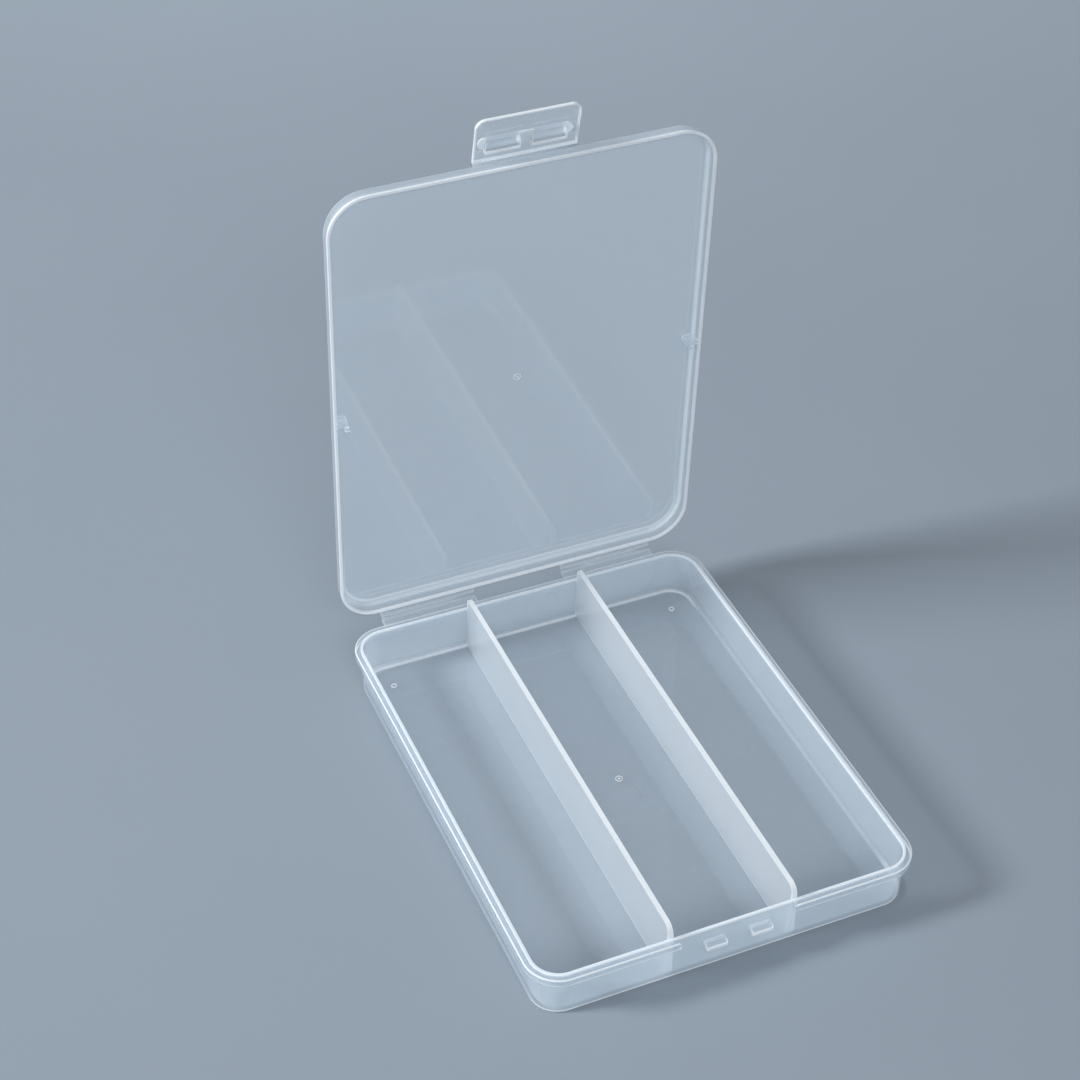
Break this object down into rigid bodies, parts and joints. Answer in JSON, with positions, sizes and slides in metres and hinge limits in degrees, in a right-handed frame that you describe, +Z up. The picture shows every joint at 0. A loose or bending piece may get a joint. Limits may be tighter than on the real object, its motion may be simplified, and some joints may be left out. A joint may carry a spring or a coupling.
{
  "type": "multi-compartment storage box",
  "caption": "Shallow clear plastic box with lengthwise compartments, a film-hinged lid and a snap latch flap at the front.",
  "frame": {"origin": "middle of the underside of the tray", "axes": "+X across the width, towards the right seen from the front; -Y towards the latch at the front, +Y towards the lid hinge; +Z up"},
  "size_m": [0.1466, 0.1992, 0.2304],
  "materials": {
    "clear_shell": "gloss",
    "clear_detail": "gloss",
    "clear_film": "gloss",
    "frosted_divider": "satin"
  },
  "bodies": {
    "tray": {"tray_shell": "clear_shell", "rim_flange": "clear_shell", "divider_left": "frosted_divider", "divider_right": "frosted_divider", "latch_lug_left": "clear_detail", "latch_lug_right": "clear_detail", "tray_hinge_leaf_left": "clear_detail", "tray_hinge_leaf_right": "clear_detail", "hinge_film_left": "clear_film", "hinge_film_right": "clear_film"},
    "lid": {"lid_shell": "clear_shell", "lid_clip_left": "clear_detail", "lid_clip_right": "clear_detail", "lid_hinge_leaf_left": "clear_detail", "lid_hinge_leaf_right": "clear_detail", "latch_film": "clear_film"},
    "latch": {"latch_flap": "clear_shell", "latch_hood_left": "clear_detail", "latch_hood_right": "clear_detail", "latch_bridge": "clear_detail"}
  },
  "joints": [
    {"name": "lid_hinge", "type": "hinge", "parent": "tray", "child": "lid", "pos_m": [0, 0.0977, 0.0198], "axis": [1, 0, 0], "range_deg": [-91.6, 88.39], "deforming": ["hinge_film_left", "hinge_film_right"]},
    {"name": "latch_hinge", "type": "hinge", "parent": "lid", "child": "latch", "pos_m": [0, 0.0976, 0.21217], "axis": [1, 0, 0], "range_deg": [-10.5, 79.5], "deforming": ["latch_film"]}
  ]
}
